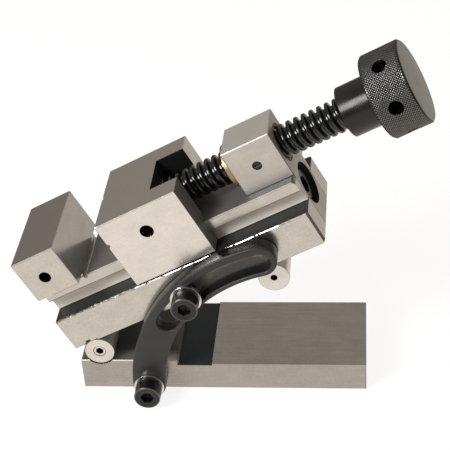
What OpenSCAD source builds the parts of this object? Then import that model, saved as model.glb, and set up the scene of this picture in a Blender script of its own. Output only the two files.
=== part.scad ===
// Sine vise: a toolmaker vise that tilts about a hinge roller on a ground base plate.
// Origin at the centre of the base underside, +X towards the knob end, +Y to the back, +Z up.

/* [Pose] */
// Tilt of the vise above the base, in degrees
tilt = 27.2; // [0:0.1:45]
// Gap between the clamping faces
opening = 24.3; // [2:0.1:50]

/* [Overall] */
// Width of the jaws, the vise body and the base plate
jaw_w = 50; // [46:0.5:70]

/* [Base plate] */
// Length of the base plate
base_l = 142.5; // [130:0.5:200]
// Height of the gauge land
land_h = 16; // [14:0.5:30]
// Rise of the heel land above the gauge land
heel_rise = 1.7; // [0.4:0.1:2]
// Length of the heel land from the hinge end
heel_l = 50.6; // [45:0.1:60]
// Length of the cross recess
recess_l = 15.3; // [5:0.1:25]
// Depth of the cross recess below the gauge land
recess_d = 0.8; // [0.3:0.1:3]
// Edge chamfer of the base plate
base_edge = 0.4; // [0.1:0.1:1.5]

/* [Rollers and hinge] */
// Diameter of the hinge roller and the sine roller
roller_d = 15; // [12:0.1:18]
// Distance between the roller axes
sine_distance = 100; // [90:1:110]
// Depth of the roller seats in the vise body
roller_seat = 0.9; // [0.3:0.1:2]
// Width of the roller seats
roller_seat_w = 7.4; // [6:0.1:14]
// Width of the relief slot in a roller seat
seat_relief = 2.6; // [1:0.1:3.4]
// Depth of the relief slot above the roller seat
seat_relief_h = 1.2; // [0.4:0.1:2]
// Gap between the hinge roller and its groove in the base plate
groove_gap = 0.8; // [0.2:0.1:1.5]
// Hinge axis from the end of the base plate
hinge_inset = 10.2; // [8:0.1:14]
// Hinge axis from the end of the vise body
body_inset = 9.7; // [8:0.1:14]
// Length of each outer hinge knuckle
knuckle_l = 16; // [14:0.1:18]
// Diameter of the hinge pin
hinge_pin_d = 6; // [4:0.1:7]
// Length of the set screw in each end of the hinge roller
end_screw_l = 6; // [4:0.1:8]
// Hex socket of these set screws, across flats
end_socket = 3.6; // [2:0.1:4]
// Length of the foot of the middle knuckle along the base
foot_l = 12; // [10:0.1:14]
// Web of the base plate between the foot and its screw heads
foot_web = 3.9; // [2:0.1:6]
// Length of the knuckle leaf from the hinge axis
leaf_l = 20; // [18:0.1:26]
// Shoulder of the knuckle beside its leaf
leaf_shoulder = 3.5; // [2:0.1:5]
// Thickness of the knuckle leaf
leaf_t = 7; // [6:0.1:9]
// Diameter of the centre holes in the sine roller
centre_hole_d = 3.4; // [1:0.1:5]

/* [Vise body] */
// Length of the vise body
body_l = 141.5; // [136:0.5:170]
// Height of the lower block
block_h = 18.5; // [17:0.1:24]
// Wall of the rail neck beside the nut block
prong_wall = 2.4; // [1.5:0.1:5]
// Lip of the rail flange beyond the neck
flange_lip = 3.25; // [2:0.05:5]
// Thickness of the rail flange
flange_h = 5.7; // [4:0.1:8]
// Height of the bed above the underside of the body
bed_h = 32; // [30:0.1:38]
// Height of the jaws above the bed
jaw_h = 25; // [24:0.1:34]
// Length of the fixed jaw
fixed_jaw_l = 24.4; // [20:0.1:32]
// Gap between the bed and the overhang of the fixed jaw
overhang_rise = 1.2; // [0.4:0.1:3]
// Radius of the relief groove at the foot of the fixed jaw
relief_r = 1.1; // [0.4:0.1:2]
// Relief groove from the clamping face of the fixed jaw
relief_u = 0.8; // [0.2:0.1:2]
// Depth of the centre of the relief groove below the bed
relief_sink = 0.6; // [0:0.1:1]
// Edge chamfer of the ground blocks
block_edge = 0.3; // [0.1:0.1:1.2]
// Chamfer at the screw end of the vise body
end_edge = 1.5; // [0.4:0.1:2]

/* [Movable jaw] */
// Length of the movable jaw
jaw_l = 44.4; // [40:0.1:50]
// Solid length of the movable jaw in front of its slot
jaw_solid_l = 29.4; // [26:0.1:32]
// Gap between the slot of the movable jaw and the nut that passes in it
nut_pass = 1.1; // [0.3:0.1:2]
// Gap between the skirts of the movable jaw and the ledges
skirt_gap = 0.8; // [0.3:0.1:2]
// Width of the V grooves in the clamping face
vee_w = 3.2; // [1:0.1:5]
// Depth of the horizontal V groove below the top
vee_drop = 12; // [8:0.1:16]
// Side of the relief in the upper corners of the rail channel
channel_relief = 1.4; // [0.4:0.1:2]
// Reach of the retaining pins above the screw axis
pin_past = 8; // [6:0.1:10]
// Diameter of the retaining pins
retain_pin_d = 4; // [3:0.1:4.5]

/* [Side holes] */
// Core diameter of the threaded side hole in the movable jaw
side_hole_d = 6.8; // [4:0.1:8]
// Core diameter of the threaded side hole in the fixed jaw
fixed_hole_d = 6.1; // [4:0.1:8]
// Side holes below the top of the jaws
side_hole_drop = 13; // [8:0.1:18]
// Depth of the threaded side holes
side_hole_depth = 13; // [8:0.1:14]
// Fixed-jaw side hole from the end of the body
fixed_hole_u = 11.5; // [8:0.1:16]
// Movable-jaw side hole from the clamping face
movable_hole_u = 21.4; // [16:0.1:24]

/* [Nut block] */
// Length of the nut block
nut_l = 25.3; // [20:0.1:28]
// Side wall of the nut block beside the bronze nut
nut_wall = 1.9; // [1:0.1:4]
// Top wall of the nut block above the bronze nut
nut_roof = 3; // [2:0.1:5]
// Wall of the bronze nut
bush_wall = 1.5; // [1.2:0.1:3]
// Depth of the bronze nut below the end face of the nut block
bush_sink = 0.3; // [0.1:0.1:4]
// Lip of the bronze flange beyond the nut
bush_lip = 0.9; // [0.5:0.1:3]
// Thickness of the bronze flange
bush_flange_t = 2.4; // [1:0.1:4]
// Side wall of the nut block beside the bolt counterbore
bolt_wall = 0.9; // [0.8:0.1:2]
// Depth of the counterbore for the block bolt
bolt_bore_depth = 12; // [11:0.1:15]
// Edge chamfer of the nut block
nut_edge = 0.4; // [0.2:0.1:1.5]
// Floor of the nut block below the bolt counterbore
bolt_floor = 8.5; // [4:0.1:9]
// Diameter of the grub screw that locks the bronze nut
grub_d = 4.6; // [3:0.1:6]
// Depth of the grub screw below the side of the nut block
grub_sink = 0.5; // [0.2:0.1:0.8]

/* [Screw and knob] */
// Outside diameter of the trapezoidal thread
thread_d = 16; // [14:0.1:18]
// Pitch of the thread
thread_pitch = 4; // [3:0.5:6]
// Depth of the thread
thread_depth = 2.25; // [1.5:0.05:2.5]
// Length of the thread
thread_l = 95; // [90:0.5:120]
// Start of the first turn from the inner end of the thread
thread_start = 0.7; // [0.5:0.1:4]
// Step from the thread root to the plain nose, on the diameter
nose_step = 0.5; // [0.2:0.1:2]
// Length of the plain nose in the movable jaw
nose_l = 14; // [12:0.1:16]
// Depth of the groove in the nose
nose_groove = 1.9; // [1:0.1:2.5]
// Thickness of the thrust washer
thrust_t = 1.5; // [0.8:0.1:3]
// Diameter of the plain hub of the knob
hub_d = 24.4; // [20:0.1:30]
// Length of the plain hub
hub_l = 16; // [10:0.1:24]
// Diameter of the knurled head
knob_d = 39.7; // [34:0.1:48]
// Length of the knurled head
knob_l = 19.3; // [16:0.1:28]
// Chamfer of the knob edges
knob_edge = 0.5; // [0.4:0.1:2]
// Step from the thread root to the shank in the knob, on the diameter
shank_step = 1.5; // [0.5:0.1:3]
// Length of the screw shank pressed into the knob
shank_l = 22; // [16:0.1:26]
// Diameter of the tommy-bar holes
tommy_d = 6.8; // [4:0.1:8]
// Web of the knob between a tommy-bar hole and the shank
tommy_web = 3.5; // [1:0.1:8]
// Number of tommy-bar holes
tommy_count = 6; // [2:1:8]
// Turn of the first tommy-bar hole above the front
tommy_turn = 4.7; // [0:0.1:60]

/* [Arm and its screws] */
// Arm pivot from the hinge end of the base plate
arm_inset = 35; // [30:0.1:40]
// Gap between the lower end of the arm and the table
arm_lift = 0.1; // [0.1:0.1:2]
// Radius of the centre line of the arm
arm_r = 78.6; // [70:0.1:90]
// Width of the arm
arm_w = 16.6; // [14:0.1:20]
// Thickness of the arm
arm_t = 8; // [4:0.1:12]
// Sweep of the arm from its pivot to its far end, in degrees
arm_sweep = 74.8; // [70:0.1:80]
// Start of the slot from the pivot, in degrees
slot_start = 30.8; // [24:0.1:36]
// Gap between the lock screw and the wall of the slot
slot_gap = 0.2; // [0.1:0.05:1]
// Shift of the slot towards the inside of the bend
slot_shift = 0.95; // [0:0.05:2]
// Lock screw from the end of the vise body
lock_u = 70; // [64:0.1:76]
// Lock screw above the underside of the vise body
lock_h = 7; // [5.5:0.1:9]
// Outer diameter of the washers
washer_d = 15; // [14:0.1:16]
// Thickness of the washers
washer_t = 1.6; // [1:0.1:2.5]
// Length of the M8 arm screws below the head
arm_screw_l = 25; // [22:0.5:30]

/* [Hidden] */
$fn = 64;
// Clearances: sliding faces, running bores, seated pieces, tapped holes
slide_gap = 0.05;
run_gap = 0.05;
fit = 0.02;
tap_gap = 0.05;
// Clearance between parts that pass each other
pass_gap = 0.2;
// Clearance of the retaining pins in the groove of the nose
pin_gap = 0.3;
// Overlap of a cutting shape past the face that it opens
cut = 1;

// Cap screws as [thread, head diameter, head height, socket across flats]
M4 = [3.9, 7, 4, 3];
M5 = [4.9, 8.5, 5, 4];
M8 = [7.8, 13, 8, 6];
M10 = [9.8, 16, 10, 8];
screw_edge = 0.6;
leaf_screw_l = 10;
foot_screw_l = 10;
roller_screw_l = 16;
bolt_l = 30;
tap_spare = 2;
// Overlap of a head counterbore past a curved face
head_over = 8;
// Depth of the hidden screw heads below the face that they sink into
head_sink = 1;
// Bite of the grub screw into the bronze nut
grub_bite = 0.8;

// Screw, nut, nut block and rail follow from the thread
root_d = thread_d - 2 * thread_depth;
nose_d = root_d - nose_step;
nose_groove_d = nose_d - 2 * nose_groove;
shank_d = root_d - shank_step;
bush_bore_d = thread_d + 2 * pass_gap;
bush_d = bush_bore_d + 2 * bush_wall;
bush_flange_d = bush_d + 2 * bush_lip;
nut_w = bush_d + 2 * nut_wall;
neck_w = nut_w + 2 * prong_wall;
flange_w = neck_w + 2 * flange_lip;
slot_w = max(nut_w, bush_flange_d) + 2 * nut_pass;
bolt_bore_d = nut_w - 2 * bolt_wall;
bolt_h = bolt_floor + bolt_bore_d / 2;
screw_drop = nut_roof + bush_d / 2;
tommy_depth = knob_d / 2 - shank_d / 2 - tommy_web;

// Hinge and arm pivot in the base frame
hinge_x = hinge_inset - base_l / 2;
hinge_z = land_h + roller_d / 2;
arm_x = arm_inset - base_l / 2;
arm_h = arm_w / 2 + arm_lift;
heel_h = land_h + heel_rise;
middle_l = jaw_w - 2 * knuckle_l - 2 * pass_gap;
middle_d = roller_d - 4 * pass_gap;
hinge_pin_l = jaw_w - 2 * (end_screw_l + 2 * pass_gap);
foot_seat_z = M4[2] + head_sink;
foot_floor = foot_seat_z + foot_web;
foot_screw_y = middle_l / 4;

// Heights in the vise frame: X along the body, Y across it, Z up from its underside
roller_z = roller_seat - roller_d / 2;
sine_u = body_inset + sine_distance;
flange_z = bed_h - flange_h;
top_z = bed_h + jaw_h;
screw_z = top_z - screw_drop;
side_hole_z = top_z - side_hole_drop;
jaw_u = fixed_jaw_l + opening;
pocket_u = jaw_u + jaw_solid_l;
skirt_z = block_h + skirt_gap;
nut_u = body_l - nut_l;
thread_u = pocket_u + thrust_t + run_gap;
hub_u = thread_u + thread_l;
knob_u = hub_u + hub_l;
tommy_u = knob_u + knob_l / 2;
groove_u = pocket_u - nose_l / 2;
groove_l = retain_pin_d + 2 * pin_gap;
pin_y = (nose_groove_d + retain_pin_d) / 2 + pin_gap;
pin_z = bed_h + pass_gap;
retain_pin_l = screw_z - pin_z + pin_past;
leaf_u = body_inset - roller_seat_w / 3;
leaf_end_u = body_inset + leaf_l;
leaf_w = knuckle_l - 2 * leaf_shoulder;
leaf_y = jaw_w / 2 - knuckle_l / 2;
leaf_screw_u = leaf_end_u - M4[1];
roller_screw_y = jaw_w / 2 - knuckle_l / 2;
roller_head_z = M5[2] + head_sink - roller_d / 2;
bush_flange_u = nut_u - bush_flange_t;
grub_u = nut_u + nut_l / 2;
grub_l = (nut_w - bush_d) / 2 + grub_bite;
bush_l = nut_l - bush_sink;
bolt_seat_u = body_l - bolt_bore_depth;

// Layers in front of the side faces: arm, washer, screw head
side_y = -jaw_w / 2;
arm_back_y = side_y - pass_gap;
arm_front_y = arm_back_y - arm_t;
washer_y = arm_front_y - run_gap;
head_seat_y = washer_y - washer_t;
arm_tap_depth = arm_screw_l - (side_y - head_seat_y) + tap_spare;

// Lock screw seen from the arm pivot, and the turn that puts the arm's centre line on it
lock_du = lock_u - body_inset;
lock_dw = lock_h - roller_z;
lock_dx = hinge_x - arm_x + lock_du * cos(tilt) - lock_dw * sin(tilt);
lock_dz = hinge_z - arm_h + lock_du * sin(tilt) + lock_dw * cos(tilt);
lock_reach = norm([lock_dx, lock_dz]);
arm_turn = atan2(lock_dz, lock_dx) - 90 + asin(lock_reach / (2 * arm_r));
arm_slot_r = arm_r - slot_shift;
arm_slot_w = M8[0] + 2 * (slot_shift + slot_gap);

// Trapezoid of the thread over one pitch, as [share of the pitch, radius]
crest_r = thread_d / 2;
root_r = root_d / 2;
flank = thread_depth * tan(15) / thread_pitch;
crest = 0.366;
root = 1 - crest - 2 * flank;
thread_profile = [[0, root_r], [root, root_r], [root + flank, crest_r], [root + flank + crest, crest_r]];
thread_sides = 16;
thread_turns = floor((thread_l - thread_start) / thread_pitch) - 1;

GROUND = "silver";
SCALE = "dimgray";
BLACK = "#2b2b2d";
BRONZE = "#b08d57";

// Places the vise frame on the hinge axis at the tilt
module on_vise() {
    translate([hinge_x, 0, hinge_z])
        rotate([0, -tilt, 0])
            translate([-body_inset, 0, -roller_z])
                children();
}

// Box from its low corner along X, centred on Y, from its low Z
module bar(x0, x1, w, z0, z1) {
    translate([x0, -w / 2, z0]) cube([x1 - x0, w, z1 - z0]);
}

// Rectangle with its corners cut off at 45 degrees
module cut_rect(x0, x1, y0, y1, c) {
    polygon([
        [x0 + c, y0], [x1 - c, y0], [x1, y0 + c], [x1, y1 - c],
        [x1 - c, y1], [x0 + c, y1], [x0, y1 - c], [x0, y0 + c]
    ]);
}

// Extrudes a section in the YZ plane along X
module along_x(x0, x1) {
    translate([x0, 0, 0])
        rotate([90, 0, 90])
            linear_extrude(x1 - x0)
                children();
}

// Extrudes a section in the XZ plane towards -Y
module towards_front(y_back, t) {
    translate([0, y_back, 0])
        rotate([90, 0, 0])
            linear_extrude(t)
                children();
}

// Box with chamfered edges, centred on Y
module ground_bar(x0, x1, w, z0, z1, c) {
    intersection() {
        along_x(x0, x1) cut_rect(-w / 2, w / 2, z0, z1, c);
        towards_front(w / 2, w) cut_rect(x0, x1, z0, z1, c);
        translate([0, 0, z0]) linear_extrude(z1 - z0) cut_rect(x0, x1, -w / 2, w / 2, c);
    }
}

// Cylinders along X and along Y
module rod_x(x0, x1, d) {
    translate([x0, 0, 0]) rotate([0, 90, 0]) cylinder(h = x1 - x0, d = d);
}

module rod_y(y0, y1, d) {
    translate([0, y1, 0]) rotate([90, 0, 0]) cylinder(h = y1 - y0, d = d);
}

// Socket cap screw along Z: head above the seat at z = 0, shank below it
module cap_screw(size, l) {
    difference() {
        rotate_extrude() {
            polygon([
                [0, -l], [size[0] / 2 - screw_edge, -l], [size[0] / 2, screw_edge - l],
                [size[0] / 2, 0], [size[1] / 2, 0], [size[1] / 2, size[2] - screw_edge],
                [size[1] / 2 - screw_edge, size[2]], [0, size[2]]
            ]);
        }
        translate([0, 0, size[2] / 2])
            cylinder(h = size[2], d = size[3] / cos(30), $fn = 6);
    }
}

// Through hole, head counterbore and tapped hole for a cap screw that points up from below
module up_bore(size, seat_z, top_z) {
    head_h = size[2] + head_over;
    translate([0, 0, seat_z - head_h]) cylinder(h = head_h, d = size[1] + 2 * pass_gap);
    translate([0, 0, seat_z]) cylinder(h = top_z - seat_z, d = size[0] + 2 * tap_gap);
}

module washer(d, bore, t) {
    difference() {
        cylinder(h = t, d = d);
        translate([0, 0, -cut]) cylinder(h = t + 2 * cut, d = bore);
    }
}

// Plain M8 washer on the arm, in the XZ plane
module arm_washer() {
    translate([0, washer_y, 0])
        rotate([90, 0, 0])
            washer(washer_d, M8[0] + 2 * pass_gap, washer_t);
}

module arm_screw() {
    translate([0, head_seat_y, 0]) rotate([90, 0, 0]) cap_screw(M8, arm_screw_l);
}

// Slot for the middle knuckle's foot, in plan
module foot_plan(gap) {
    translate([hinge_x, 0]) square([foot_l + 2 * gap, middle_l + 2 * gap], center = true);
}

module base_plate() {
    x0 = -base_l / 2;
    recess_x = x0 + heel_l;
    gauge_x = recess_x + recess_l;
    lip = heel_rise + recess_d;
    color(GROUND) difference() {
        ground_bar(x0, -x0, jaw_w, 0, heel_h, base_edge);
        bar(gauge_x, -x0 + cut, jaw_w + 2 * cut, land_h, heel_h + cut);
        towards_front(jaw_w / 2 + cut, jaw_w + 2 * cut)
            polygon([
                [recess_x - lip, heel_h + cut], [recess_x - lip, heel_h], [recess_x, land_h - recess_d],
                [gauge_x, land_h - recess_d], [gauge_x, heel_h + cut]
            ]);
        translate([hinge_x, 0, hinge_z]) rod_y(-jaw_w, jaw_w, roller_d + 2 * groove_gap);
        translate([0, 0, foot_floor]) linear_extrude(heel_h) foot_plan(fit);
        for (s = [-1, 1])
            translate([hinge_x, s * foot_screw_y, 0]) up_bore(M4, foot_seat_z, foot_floor + cut);
        translate([arm_x, 0, arm_h]) rod_y(side_y - cut, side_y + arm_tap_depth, M8[0] + 2 * tap_gap);
    }
}

module hinge_base_knuckle() {
    color(GROUND) difference() {
        union() {
            translate([hinge_x, 0, hinge_z]) rod_y(-middle_l / 2, middle_l / 2, middle_d);
            translate([0, 0, foot_floor]) linear_extrude(hinge_z - foot_floor) foot_plan(0);
        }
        translate([hinge_x, 0, hinge_z]) rod_y(-jaw_w, jaw_w, hinge_pin_d + 2 * fit);
        for (s = [-1, 1])
            translate([hinge_x, s * foot_screw_y, 0])
                up_bore(M4, foot_seat_z, foot_seat_z + foot_screw_l + tap_gap);
    }
}

module hinge_foot_screws() {
    color(BLACK) for (s = [-1, 1])
        translate([hinge_x, s * foot_screw_y, foot_seat_z])
            rotate([180, 0, 0]) cap_screw(M4, foot_screw_l);
}

module hinge_pin() {
    color(GROUND) translate([hinge_x, 0, hinge_z])
        rod_y(-hinge_pin_l / 2, hinge_pin_l / 2, hinge_pin_d);
}

module arm_pivot_screw() {
    color(BLACK) translate([arm_x, 0, arm_h]) arm_screw();
}

module arm_pivot_washer() {
    color(GROUND) translate([arm_x, 0, arm_h]) arm_washer();
}

// Point on an arc about the bend centre, at a sweep from the pivot
function bend_point(r, sweep) = [arm_r - r * cos(sweep), r * sin(sweep)];

// Curved bar with round ends between two sweeps
module bent_bar(r, w, first, last) {
    reach = 2 * r;
    intersection() {
        translate([arm_r, 0]) difference() {
            circle(r + w / 2, $fn = 180);
            circle(r - w / 2, $fn = 180);
        }
        polygon(concat(
            [[arm_r, 0]],
            [for (a = [first, (first + last) / 2, last]) bend_point(reach, a)]
        ));
    }
    for (a = [first, last]) translate(bend_point(r, a)) circle(d = w);
}

module slotted_arm() {
    color(BLACK) translate([arm_x, 0, arm_h]) rotate([0, -arm_turn, 0])
        difference() {
            towards_front(arm_back_y, arm_t) bent_bar(arm_r, arm_w, 0, arm_sweep);
            towards_front(arm_back_y + cut, arm_t + 2 * cut)
                bent_bar(arm_slot_r, arm_slot_w, slot_start, arm_sweep);
            rod_y(arm_front_y - cut, arm_back_y + cut, M8[0] + 2 * run_gap);
        }
}

// Half section of the T rail: lower block, neck, flange
module rail_section() {
    b = jaw_w / 2;
    n = neck_w / 2;
    f = flange_w / 2;
    for (s = [0, 1]) mirror([s, 0])
        polygon([
            [0, 0], [b - block_edge, 0], [b, block_edge], [b, block_h - block_edge],
            [b - block_edge, block_h], [n, block_h], [n, flange_z], [f, flange_z],
            [f, bed_h - block_edge], [f - block_edge, bed_h], [0, bed_h]
        ]);
}

// Seat for a roller across the underside, with a relief slot beside the line of contact
module seat_cut(u) {
    bar(u - roller_seat_w / 2, u + roller_seat_w / 2, jaw_w + 2 * cut, -cut, roller_seat);
    bar(u - pass_gap - seat_relief, u - pass_gap, jaw_w + 2 * cut, -cut, roller_seat + seat_relief_h);
}

module leaf(gap) {
    bar(leaf_u - gap, leaf_end_u + gap, leaf_w + 2 * gap, 0, leaf_t + gap);
}

// Prism that takes a 45 degree chamfer off the screw end along Y: the edge lies at z, the body towards side
module end_bevel(z, side) {
    towards_front(jaw_w, 2 * jaw_w)
        polygon([
            [body_l - end_edge - cut, z - side * cut], [body_l + cut, z - side * cut],
            [body_l + cut, z + side * (end_edge + cut)]
        ]);
}

module vise_body() {
    foot_z = bed_h + overhang_rise;
    color(GROUND) on_vise() difference() {
        union() {
            along_x(0, body_l) rail_section();
            bar(0, fixed_jaw_l, flange_w, bed_h - cut, foot_z + cut);
            ground_bar(0, fixed_jaw_l, jaw_w, foot_z, top_z, block_edge);
        }
        translate([fixed_jaw_l + relief_u, 0, bed_h - relief_sink]) rod_y(-jaw_w, jaw_w, 2 * relief_r);
        bar(nut_u - fit, body_l + cut, nut_w + 2 * fit, -cut, bed_h + cut);
        end_bevel(bed_h, -1);
        end_bevel(0, 1);
        for (s = [-1, 1])
            translate([body_l, s * jaw_w / 2, -cut]) rotate([0, 0, 45])
                translate([-end_edge / 2, -end_edge / 2, 0]) cube([end_edge, end_edge, bed_h]);
        translate([0, 0, bolt_h])
            rod_x(bolt_seat_u - bolt_l - tap_spare, nut_u, M10[0] + 2 * tap_gap);
        for (u = [body_inset, sine_u]) seat_cut(u);
        for (s = [-1, 1]) {
            translate([0, s * leaf_y, 0]) leaf(fit);
            translate([leaf_screw_u, s * leaf_y, 0])
                cylinder(h = M4[2] + leaf_screw_l + tap_spare, d = M4[0] + 2 * tap_gap);
            translate([sine_u, s * roller_screw_y, 0])
                cylinder(h = roller_z + roller_head_z + roller_screw_l + tap_spare, d = M5[0] + 2 * tap_gap);
        }
        translate([fixed_hole_u, 0, side_hole_z]) rod_y(side_y - cut, side_y + side_hole_depth, fixed_hole_d);
        translate([lock_u, 0, lock_h]) rod_y(side_y - cut, side_y + arm_tap_depth, M8[0] + 2 * tap_gap);
    }
}

// Outer third of the hinge roller with its leaf, on the front or the rear side
module outer_knuckle(side) {
    y_out = side * jaw_w / 2;
    y_in = side * (jaw_w / 2 - knuckle_l);
    difference() {
        union() {
            translate([body_inset, 0, roller_z]) rod_y(min(y_in, y_out), max(y_in, y_out), roller_d);
            translate([0, side * leaf_y, 0]) leaf(0);
        }
        translate([body_inset, 0, roller_z]) rod_y(-jaw_w, jaw_w, hinge_pin_d + 2 * run_gap);
        translate([leaf_screw_u, side * leaf_y, 0]) up_bore(M4, M4[2] + pass_gap, leaf_t + cut);
    }
}

module hinge_front_knuckle() {
    color(GROUND) on_vise() outer_knuckle(-1);
}

module hinge_rear_knuckle() {
    color(GROUND) on_vise() outer_knuckle(1);
}

module hinge_leaf_screws() {
    color(BLACK) on_vise() for (s = [-1, 1])
        translate([leaf_screw_u, s * leaf_y, M4[2] + pass_gap])
            rotate([180, 0, 0]) cap_screw(M4, leaf_screw_l);
}

// Headless screw along Z with its outer face at z = 0
module set_screw(d, l, socket) {
    difference() {
        translate([0, 0, -l]) cylinder(h = l, d = d);
        translate([0, 0, -l / 2]) cylinder(h = l, d = socket / cos(30), $fn = 6);
    }
}

module hinge_end_screws() {
    color(GROUND) on_vise() for (s = [-1, 1])
        translate([body_inset, s * (jaw_w / 2 - pass_gap), roller_z])
            rotate([-90 * s, 0, 0]) set_screw(hinge_pin_d, end_screw_l, end_socket);
}

module sine_roller() {
    color(GROUND) on_vise() translate([sine_u, 0, roller_z]) difference() {
        rod_y(-jaw_w / 2, jaw_w / 2, roller_d);
        for (s = [-1, 1]) {
            translate([0, s * jaw_w / 2, 0]) rod_y(-centre_hole_d, centre_hole_d, centre_hole_d);
            translate([0, s * roller_screw_y, 0]) up_bore(M5, roller_head_z, roller_d);
        }
    }
}

module sine_roller_screws() {
    color(BLACK) on_vise() for (s = [-1, 1])
        translate([sine_u, s * roller_screw_y, roller_z + roller_head_z])
            rotate([180, 0, 0]) cap_screw(M5, roller_screw_l);
}

module nut_block() {
    color(GROUND) on_vise() difference() {
        ground_bar(nut_u, body_l, nut_w, fit, top_z, nut_edge);
        end_bevel(0, 1);
        translate([0, 0, screw_z]) rod_x(nut_u - cut, body_l + cut, bush_d + 2 * fit);
        translate([0, 0, bolt_h]) rod_x(bolt_seat_u, body_l + cut, bolt_bore_d);
        translate([0, 0, bolt_h]) rod_x(nut_u - cut, body_l, M10[0] + 2 * pass_gap);
        translate([grub_u, 0, screw_z]) rod_y(-nut_w, 0, grub_d + 2 * tap_gap);
    }
}

module nut_block_bolt() {
    color(BLACK) on_vise() translate([bolt_seat_u, 0, bolt_h])
        rotate([0, 90, 0]) cap_screw(M10, bolt_l);
}

module bronze_nut() {
    color(BRONZE) on_vise() translate([0, 0, screw_z]) difference() {
        union() {
            rod_x(bush_flange_u, nut_u, bush_flange_d);
            rod_x(nut_u - cut, nut_u + bush_l, bush_d);
        }
        rod_x(bush_flange_u - cut, nut_u + bush_l + cut, bush_bore_d);
        translate([grub_u, 0, 0]) rod_y(-nut_w, grub_l + tap_gap - nut_w / 2, grub_d + 2 * tap_gap);
    }
}

module nut_lock_screw() {
    slot = grub_d / 5;
    color(BLACK) on_vise() translate([grub_u, 0, screw_z]) difference() {
        rod_y(grub_sink - nut_w / 2, grub_l - nut_w / 2, grub_d);
        translate([-grub_d, -nut_w / 2, -slot / 2]) cube([2 * grub_d, slot + grub_sink, slot]);
    }
}

module arm_lock_screw() {
    color(BLACK) on_vise() translate([lock_u, 0, lock_h]) arm_screw();
}

module arm_lock_washer() {
    color(GROUND) on_vise() translate([lock_u, 0, lock_h]) arm_washer();
}

// Section of the channel that slides on the rail
module channel_section() {
    n = neck_w / 2 + slide_gap;
    f = flange_w / 2 + slide_gap;
    z0 = skirt_z - cut;
    z1 = flange_z - slide_gap;
    z2 = bed_h + slide_gap;
    polygon([[-n, z0], [n, z0], [n, z1], [f, z1], [f, z2], [-f, z2], [-f, z1], [-n, z1]]);
    for (s = [-1, 1])
        translate([s * f, z2]) square(channel_relief, center = true);
}

// V groove as a square turned on its edge
module vee_2d() {
    rotate(45) square(vee_w / sqrt(2), center = true);
}

module movable_jaw() {
    color(GROUND) on_vise() difference() {
        ground_bar(jaw_u, jaw_u + jaw_l, jaw_w, skirt_z, top_z, block_edge);
        along_x(jaw_u - cut, jaw_u + jaw_l + cut) channel_section();
        bar(pocket_u, jaw_u + jaw_l + cut, slot_w, bed_h, top_z + cut);
        translate([jaw_u, 0, bed_h - cut]) linear_extrude(jaw_h + 2 * cut) vee_2d();
        towards_front(jaw_w, 2 * jaw_w) translate([jaw_u, top_z - vee_drop]) vee_2d();
        translate([jaw_u + movable_hole_u, 0, side_hole_z])
            rod_y(side_y - cut, side_y + side_hole_depth, side_hole_d);
        translate([0, 0, screw_z]) rod_x(pocket_u - nose_l - pass_gap, pocket_u + cut, nose_d + 2 * run_gap);
        for (s = [-1, 1])
            translate([groove_u, s * pin_y, bed_h - cut])
                cylinder(h = retain_pin_l + 2 * pass_gap + cut, d = retain_pin_d + 2 * fit);
    }
}

module retaining_pins() {
    color(GROUND) on_vise() for (s = [-1, 1])
        translate([groove_u, s * pin_y, pin_z]) cylinder(h = retain_pin_l, d = retain_pin_d);
}

module thrust_washer() {
    color(BRONZE) on_vise() translate([pocket_u + run_gap / 2, 0, screw_z])
        rotate([0, 90, 0]) washer(thread_d, nose_d + 2 * run_gap, thrust_t);
}

// Point k of the thread along the screw, at step i of the turn
function thread_point(i, k) =
    let (
        m = len(thread_profile),
        p = thread_profile[k % m],
        x = thread_pitch * (floor(k / m) + p[0] + i / thread_sides) + thread_start,
        a = 360 * i / thread_sides
    ) [x, p[1] * cos(a), p[1] * sin(a)];

function ring_point(x, r, i) =
    [x, r * cos(360 * i / thread_sides), r * sin(360 * i / thread_sides)];

// Screw thread as one closed helix: the seam of each turn meets the start of the next
module thread_solid() {
    n = thread_sides;
    m = len(thread_profile);
    last = thread_turns * m;
    seam = (last + 1) * n;
    low = seam + m;
    high = low + n;
    points = concat(
        [for (k = [0:last], i = [0:n - 1]) thread_point(i, k)],
        [for (k = [last + 1:last + m]) thread_point(0, k)],
        [for (i = [0:n - 1]) ring_point(0, root_r - run_gap, i)],
        [for (i = [0:n - 1]) ring_point(thread_l, root_r - run_gap, i)]
    );
    function at(i, k) = i < n ? (k > last ? seam + k - last - 1 : k * n + i) : at(0, k + m);
    function low_at(i) = low + i % n;
    function high_at(i) = high + i % n;
    function quad(a, b, c, d) = [[a, c, b], [a, d, c]];
    skin = [for (k = [0:last - 1], i = [0:n - 1])
        each quad(at(i, k), at(i + 1, k), at(i + 1, k + 1), at(i, k + 1))];
    low_side = [for (i = [0:n - 1]) each quad(low_at(i), low_at(i + 1), at(i + 1, 0), at(i, 0))];
    high_side = [for (i = [0:n - 1])
        each quad(at(i, last), at(i + 1, last), high_at(i + 1), high_at(i))];
    low_face = [
        [low, at(0, 0), at(0, 1)], [low, at(0, 1), at(0, 4)],
        [at(0, 1), at(0, 2), at(0, 3)], [at(0, 1), at(0, 3), at(0, 4)]
    ];
    high_face = [
        [high, at(0, last + 1), at(0, last)], [high, at(0, last + 4), at(0, last + 1)],
        [at(0, last + 1), at(0, last + 3), at(0, last + 2)],
        [at(0, last + 1), at(0, last + 4), at(0, last + 3)]
    ];
    low_cap = [[for (i = [0:n - 1]) low + i]];
    high_cap = [[for (i = [n - 1:-1:0]) high + i]];
    polyhedron(points, concat(skin, low_side, high_side, low_face, high_face, low_cap, high_cap));
}

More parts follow.
